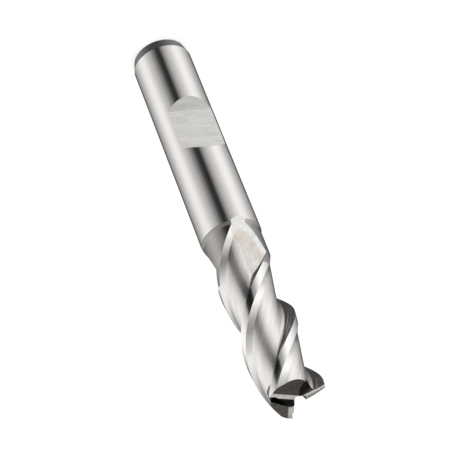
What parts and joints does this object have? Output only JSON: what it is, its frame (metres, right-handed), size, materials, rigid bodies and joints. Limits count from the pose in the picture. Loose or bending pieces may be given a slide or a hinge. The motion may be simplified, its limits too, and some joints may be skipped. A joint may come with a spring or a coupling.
{
  "type": "end mill",
  "caption": "Square-end milling cutter with right-hand helical flutes, ground end teeth, a turned neck and a round shank with a side-lock flat.",
  "frame": {"origin": "centre of the flat end face of the shank", "axes": "+Z along the tool's axis from the shank end to the cutting end, -Y out of the flat on the shank"},
  "size_m": [0.01, 0.01, 0.072],
  "materials": {
    "steel": "gloss"
  },
  "bodies": {
    "root": {"endmill": "steel"}
  },
  "joints": []
}
